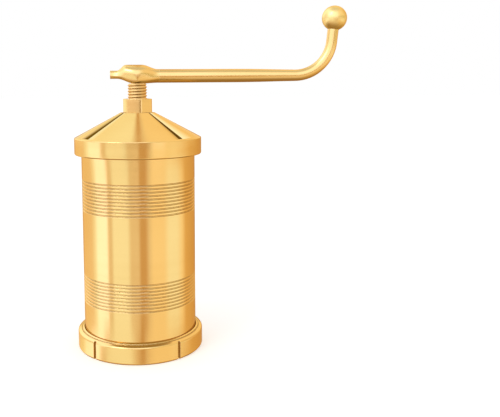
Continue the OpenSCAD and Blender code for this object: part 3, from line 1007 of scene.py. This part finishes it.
@dataclass
class Crank:
    """The hub, rod and knob that the hand turns.

    Attributes:
        sharp_degrees: Edges of the hub that turn more than this stay sharp.
        seat: Distance from the spindle's axis to the rod's seat in the hub.
        bend_start: Distance from the spindle's axis to the start of the bend.
        bend_radius: Radius of the bend along the rod's axis.
        bend_degrees: Angle of the bend.
        bend_steps: Steps along the bend.
        stem: Length from the end of the bend to the knob.
        spigot_radius: Radius of the spigots on both ends.
        hub_spigot: Length of the spigot in the hub.
        knob_spigot: Length of the spigot in the knob.
        girth: Radius along the straight length by distance from the spindle's axis, in millimetres.
        tip_girth: Radius at the start and at the end of the bend.
    """

    sharp_degrees: float = 50.0
    seat: float = 11.5 * MM
    bend_start: float = 83 * MM
    bend_radius: float = 19.6 * MM
    bend_degrees: float = 84.0
    bend_steps: int = 28
    stem: float = 6.36 * MM
    spigot_radius: float = 2 * MM
    hub_spigot: float = 5.5 * MM
    knob_spigot: float = 4.5 * MM
    girth: tuple = ((11.5, 3.5), (52, 3.48), (58, 3.44), (64, 3.36), (70, 3.23), (76, 3.11), (83, 3.0))
    tip_girth: Point = (3.0 * MM, 2.85 * MM)

    def stations(self, axis: float) -> list[tuple[Vector, float, float]]:
        """Lays out the rod's rings.

        Args:
            axis: Height of the straight length's axis.

        Returns:
            Centre, direction in radians above level and radius of each ring.
        """
        end = radians(self.bend_degrees)
        rows = [(Vector((self.seat - self.hub_spigot, 0, axis)), 0.0, self.spigot_radius),
                (Vector((self.seat, 0, axis)), 0.0, self.spigot_radius)]
        for (start, low), (stop, high) in zip(self.girth, self.girth[1:]):
            for share in (0, 0.25, 0.5, 0.75):
                centre = Vector(((start + (stop - start) * share) * MM, 0, axis))
                rows.append((centre, 0.0, (low + (high - low) * share) * MM))
        for step in range(self.bend_steps + 1):
            turn = end * step / self.bend_steps
            middle = Vector((self.bend_start + self.bend_radius * sin(turn), 0,
                             axis + self.bend_radius * (1 - cos(turn))))
            thinner = (self.tip_girth[1] - self.tip_girth[0]) * step / self.bend_steps
            rows.append((middle, turn, self.tip_girth[0] + thinner))
        along = Vector((cos(end), 0, sin(end)))
        tip = rows[-1][0]
        for reach, radius in ((self.stem, self.tip_girth[1]), (self.stem, self.spigot_radius),
                              (self.stem + self.knob_spigot, self.spigot_radius)):
            rows.append((tip + along * reach, end, radius))
        return rows

    def draw_rod(self, around: int = 48) -> Object:
        """Sweeps the rod from its spigot in the hub to its spigot in the knob.

        Args:
            around: Points round the rod.

        Returns:
            The rod, which still needs a body and a finish.
        """
        rows = self.stations(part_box("handle_rod")[0].z + radius_of("handle_rod"))
        points = []
        for middle, tilt, radius in rows:
            up = Vector((-sin(tilt), 0, cos(tilt)))
            for i in range(around):
                turn = 2 * pi * i / around
                side = Vector((0, radius * sin(turn), 0))
                points.append(middle + up * (radius * cos(turn)) + side)
        ends = [tuple(range(around)), tuple(range(len(points) - around, len(points)))]
        return shell("drawn_rod", points, hoops(len(rows), around) + ends, self.sharp_degrees)

    def dress(self, shop: Workshop) -> None:
        """Smooths the forged hub, draws the rod and dresses the knob.

        Args:
            shop: The workshop.
        """
        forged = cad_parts["handle_hub"].data
        points, faces = [v.co[:] for v in forged.vertices], [p.vertices[:] for p in forged.polygons]
        hub = shell("forged_hub", points, faces, self.sharp_degrees)
        shop.dress_piece(hub, "crank", "handle_brass", "handle_hub", mirrored=False)
        shop.dress_piece(self.draw_rod(), "crank", "handle_brass", "handle_rod", mirrored=False)
        shop.dress_nodes("knob_brass", "ball_knob")


class Tone(Enum):
    """Light that a band of the studio sends, where 1 is white paper."""

    PALE = (1.45, 1.45, 1.7)
    LIGHT = (1.08, 1.12, 1.06)
    GOLD = (1.08, 0.93, 0.69)
    TAN = (0.9, 0.77, 0.62)
    BROWN = (0.7, 0.46, 0.25)
    AMBER = (0.84, 0.58, 0.28)
    WARM = (1.0, 0.83, 0.65)
    PEACH = (0.84, 0.62, 0.48)
    DEEP = (0.36, 0.23, 0.09)
    GREY = (0.74, 0.75, 0.73)
    OLIVE = (0.6, 0.54, 0.28)


class Zone(Enum):
    """Where a zone of the wrap begins and where it is full, as shares of a direction.

    The names that end in BACK count away from the camera, and the others count upwards.
    """

    DEPTHS = (-0.6, -1.02)
    UNDER = (-0.42, -0.6)
    UNDER_BACK = (0.0, 0.2)
    RING = (-0.52, -0.43)
    SIDES = (-0.355, -0.342)
    RIM = (-0.125, -0.11)
    LEVEL = (-0.08, -0.06)
    RISER = (-0.01, 0.01)
    BEHIND = (0.09, 0.13)
    BEHIND_BACK = (0.1, 0.3)
    BOX = (0.16, 0.3)
    BOX_BACK = (0.12, -0.05)
    SKY = (0.3, 0.6)
    CROWN = (0.8, 0.93)
    CROWN_BACK = (0.34, 0.2)


def bands(text: str) -> tuple[tuple[float, Tone], ...]:
    """Reads bands from pairs of words, each a place and the name of the tone there."""
    words = text.split()
    return tuple((float(place), Tone[name]) for place, name in zip(words[::2], words[1::2]))


@dataclass(frozen=True)
class Studio:
    """White studio: a pale floor, a wrap of paper with darker gaps, and a soft lamp.

    Attributes:
        side_bands: Azimuth in degrees from the camera, left below zero, and the tone of the walls there.
        rim_bands: The same just under the height of the crank.
        ring_bands: The same near the floor.
        level_bands: The same at the height of the crank.
        riser_bands: The same just above it.
        box_bands: The same for the large soft box above the camera.
        low_bands: Way to the right of the view, and the tone of the floor there.
        sky_bands: The same overhead.
        peak: The brightest level that a ramp can hold.
        plain: Light that reaches what doesn't mirror.
        second: What is left of the light that reaches the metal by way of other metal.
        second_depth: Mirrorings between which that begins.
        floor_colour: Colour of the floor.
        floor_lift: Light that the camera sees on the floor beside the lamp's.
        floor_reach: Half the width of the floor.
        lamp_place: Where the lamp hangs.
        lamp_aim: Where it points.
        lamp_size: Side of its face.
        lamp_power: Power in watts.
    """

    side_bands: tuple = bands(
        "-180 DEEP -164 AMBER -146 WARM -112 WARM -100 LIGHT -93 PALE -69 PALE -64 TAN -58 TAN -53 LIGHT "
        "-24 LIGHT -17 TAN -2 TAN 2 BROWN 12 BROWN 19 TAN 27 GOLD 50 GOLD 62 LIGHT 82 LIGHT 96 GOLD "
        "108 AMBER 158 BROWN 170 DEEP 180 DEEP")
    rim_bands: tuple = bands(
        "-180 DEEP -164 AMBER -146 WARM -116 WARM -106 LIGHT -97 PALE -74 PALE -68 TAN -63 TAN -57 LIGHT "
        "-26 LIGHT -18 TAN -2 TAN 2 BROWN 12 BROWN 20 TAN 28 GOLD 66 GOLD 104 AMBER 158 BROWN 180 DEEP")
    ring_bands: tuple = bands(
        "-180 BROWN -160 WARM -130 LIGHT -118 PALE -84 PALE -76 TAN -70 TAN -62 LIGHT -19 LIGHT -9 TAN "
        "1 BROWN 5 BROWN 10 TAN 16 GOLD 62 GOLD 104 AMBER 158 BROWN 180 DEEP")
    level_bands: tuple = bands(
        "-180 BROWN -166 TAN -156 PALE -96 LIGHT -78 LIGHT -64 PEACH -32 PEACH -25 DEEP 18 DEEP 26 PALE "
        "44 PALE 52 GOLD 112 GOLD 135 AMBER 155 BROWN 168 DEEP 180 BROWN")
    riser_bands: tuple = bands(
        "-180 BROWN -150 GREY -86 GREY -66 PALE 12 PALE 20 OLIVE 80 OLIVE 100 TAN 150 BROWN 180 BROWN")
    box_bands: tuple = bands(
        "-180 AMBER -112 WARM -100 PALE 14 PALE 26 LIGHT 40 GOLD 105 GOLD 130 AMBER")
    low_bands: tuple = bands(
        "-1.0 PEACH -0.4 PEACH -0.2 TAN 0.3 TAN 0.5 AMBER 1.0 AMBER")
    sky_bands: tuple = bands(
        "-1.0 WARM -0.6 PALE -0.38 PALE -0.3 LIGHT -0.055 LIGHT -0.025 TAN 0.0 BROWN 0.02 BROWN 0.05 TAN "
        "0.1 GOLD 0.44 GOLD 0.8 AMBER")
    peak: float = 1.7
    plain: float = 0.8
    second: Colour = (0.6, 0.64, 0.76)
    second_depth: Point = (1.3, 1.7)
    floor_colour: Colour = (0.96, 0.96, 0.95)
    floor_lift: float = 0.3
    floor_reach: float = 6.0
    lamp_place: Place = (-0.7, -0.6, 1.0)
    lamp_aim: Place = (0.0, 0.0, 0.08)
    lamp_size: float = 0.5
    lamp_power: float = 2.2

    def paper(self, tone: Tone) -> Colour:
        """Returns a tone as a share of the peak."""
        return tuple(c / self.peak for c in tone.value)

    def ramp(self, board: Board, share: Signal, stops: Sequence[tuple[float, Tone]]) -> Signal:
        """Adds a colour ramp of tones.

        Args:
            board: The world's board.
            share: Place on the ramp.
            stops: Place and tone of each stop.

        Returns:
            The ramp's colour.
        """
        made = board.node("ShaderNodeValToRGB", {0: share})
        elements = made.node.color_ramp.elements
        while len(elements) > 1:
            elements.remove(elements[-1])
        for i, (place, tone) in enumerate(stops):
            element = elements[0] if i == 0 else elements.new(place)
            element.position = place
            element.color = (*self.paper(tone), 1)
        return made[0]

    def wrap(self, board: Board) -> Signal:
        """Mixes the papers that the metal mirrors, by the way it looks.

        Args:
            board: The world's board.

        Returns:
            Their colour, as a share of the peak.
        """
        x, y, z = board.split(board.node("ShaderNodeTexCoord")["Generated"])
        turn = board.math("ARCTAN2", x, y * -1.0) / (2 * pi) + 0.5
        sides, rim, ring, level, riser, box = (
            self.ramp(board, turn, [(azimuth / 360 + 0.5, tone) for azimuth, tone in row])
            for row in (self.side_bands, self.rim_bands, self.ring_bands, self.level_bands,
                        self.riser_bands, self.box_bands))
        low, sky = (self.ramp(board, x * 0.5 + 0.5, [(across / 2 + 0.5, tone) for across, tone in row])
                    for row in (self.low_bands, self.sky_bands))

        def up(zone: Zone, back: Optional[Zone] = None) -> Signal:
            """Returns the share of a zone by its height, and by its depth where that is given."""
            share = board.spread(z, *zone.value)
            return share * board.spread(y, *back.value) if back else share

        colour = board.mix(up(Zone.SIDES), ring, sides)
        colour = board.mix(up(Zone.RIM), colour, rim)
        colour = board.mix(up(Zone.RING), low, colour)
        under = board.math("MAXIMUM", up(Zone.DEPTHS), up(Zone.UNDER, Zone.UNDER_BACK))
        colour = board.mix(under, colour, self.paper(Tone.DEEP))
        colour = board.mix(up(Zone.LEVEL), colour, level)
        colour = board.mix(up(Zone.RISER), colour, riser)
        over = board.math("MAXIMUM", up(Zone.SKY), up(Zone.BEHIND, Zone.BEHIND_BACK))
        colour = board.mix(over, colour, sky)
        colour = board.mix(up(Zone.BOX, Zone.BOX_BACK), colour, box)
        return board.mix(up(Zone.CROWN, Zone.CROWN_BACK), colour, self.paper(Tone.GREY))

    def light_world(self) -> None:
        """Wraps the object in paper that its metal mirrors, on plain white for the camera."""
        bpy.context.scene.world = bpy.data.worlds.new("studio")
        board = Board.of(bpy.context.scene.world)
        rays = board.node("ShaderNodeLightPath")
        wrap = self.wrap(board)
        twice = board.spread(rays["Glossy Depth"], *self.second_depth)
        wrap = board.mix(twice, wrap, board.mix(1.0, wrap, self.second, "MULTIPLY"))
        paper, plain, white = (
            board.node("ShaderNodeBackground", {"Color": colour, "Strength": strength})[0]
            for colour, strength in ((wrap, self.peak), (WHITE, self.plain), (WHITE, 1.0)))
        clear = board.math("MAXIMUM", rays["Is Camera Ray"], rays["Is Transmission Ray"])
        metal = board.node("ShaderNodeMixShader", {0: rays["Is Glossy Ray"], 1: plain, 2: paper})[0]
        seen = board.node("ShaderNodeMixShader", {0: clear, 1: metal, 2: white})[0]
        board.node("ShaderNodeOutputWorld", {"Surface": seen})

    def lay_floor(self) -> None:
        """Lays the pale floor, lit up to white where the camera sees it bare."""
        work = bmesh.new()
        bmesh.ops.create_grid(work, x_segments=1, y_segments=1, size=self.floor_reach)
        floor = settle("floor", work)
        material = bpy.data.materials.new("floor_paper")
        board = Board.of(material)
        paper = board.node("ShaderNodeBsdfDiffuse", {"Color": self.floor_colour})[0]
        lift = board.node("ShaderNodeLightPath")["Is Camera Ray"] * self.floor_lift
        glow = board.node("ShaderNodeEmission", {"Color": WHITE, "Strength": lift})[0]
        both = board.node("ShaderNodeAddShader", {0: paper, 1: glow})[0]
        board.node("ShaderNodeOutputMaterial", {"Surface": both})
        floor.data.materials.append(material)
        floor.visible_glossy = False

    def hang_lamp(self) -> None:
        """Hangs the square soft lamp that points at the barrel."""
        light = bpy.data.lights.new("key", "AREA")
        light.size = self.lamp_size
        light.energy = self.lamp_power
        lamp = new_object("key", light)
        lamp.location = self.lamp_place
        lamp.rotation_euler = (Vector(self.lamp_aim) - lamp.location).to_track_quat("-Z", "Y").to_euler()

    def set_up(self) -> None:
        """Sets the whole studio."""
        self.light_world()
        self.lay_floor()
        self.hang_lamp()
        bpy.context.scene.view_settings.view_transform = "Standard"


@dataclass(frozen=True)
class Viewpoint:
    """The camera of the photograph.

    Attributes:
        place: Where it stands.
        yaw: Degrees that it turns right of +Y.
        pitch: Degrees that it looks down.
        roll: Degrees that it leans.
        lens: Focal length in millimetres.
        sensor: Width of the sensor in millimetres.
        shift: Shift of the frame, right and up.
        near: Distance at which the view begins.
    """

    place: Place = (-3.4 * MM, -359.0 * MM, 138.3 * MM)
    yaw: float = 4.87
    pitch: float = 6.28
    roll: float = 0.34
    lens: float = 49.48
    sensor: float = 36.0
    shift: Point = (0.12, -0.1)
    near: float = 10 * MM

    def set_up(self) -> None:
        """Makes the camera and gives it to the scene."""
        data = bpy.data.cameras.new("camera")
        data.sensor_width = self.sensor
        data.lens = self.lens
        data.shift_x, data.shift_y = self.shift
        data.clip_start = self.near
        camera = new_object("camera", data)
        turned, tipped, leaned = (Euler(angles).to_quaternion() for angles in (
            (0, 0, radians(-self.yaw)), (radians(90 - self.pitch), 0, 0), (0, 0, radians(-self.roll))))
        camera.rotation_mode = "QUATERNION"
        camera.rotation_quaternion = turned @ tipped @ leaned
        camera.location = self.place
        bpy.context.scene.camera = camera


def main() -> None:
    """Builds the scene in order."""
    logging.basicConfig(level=logging.INFO, format="%(name)s: %(message)s")
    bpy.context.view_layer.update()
    Viewpoint().set_up()
    Studio().set_up()
    shop = Workshop()
    Body().dress(shop)
    Screw().dress(shop)
    Crank().dress(shop)


if __name__ == "__main__":
    main()
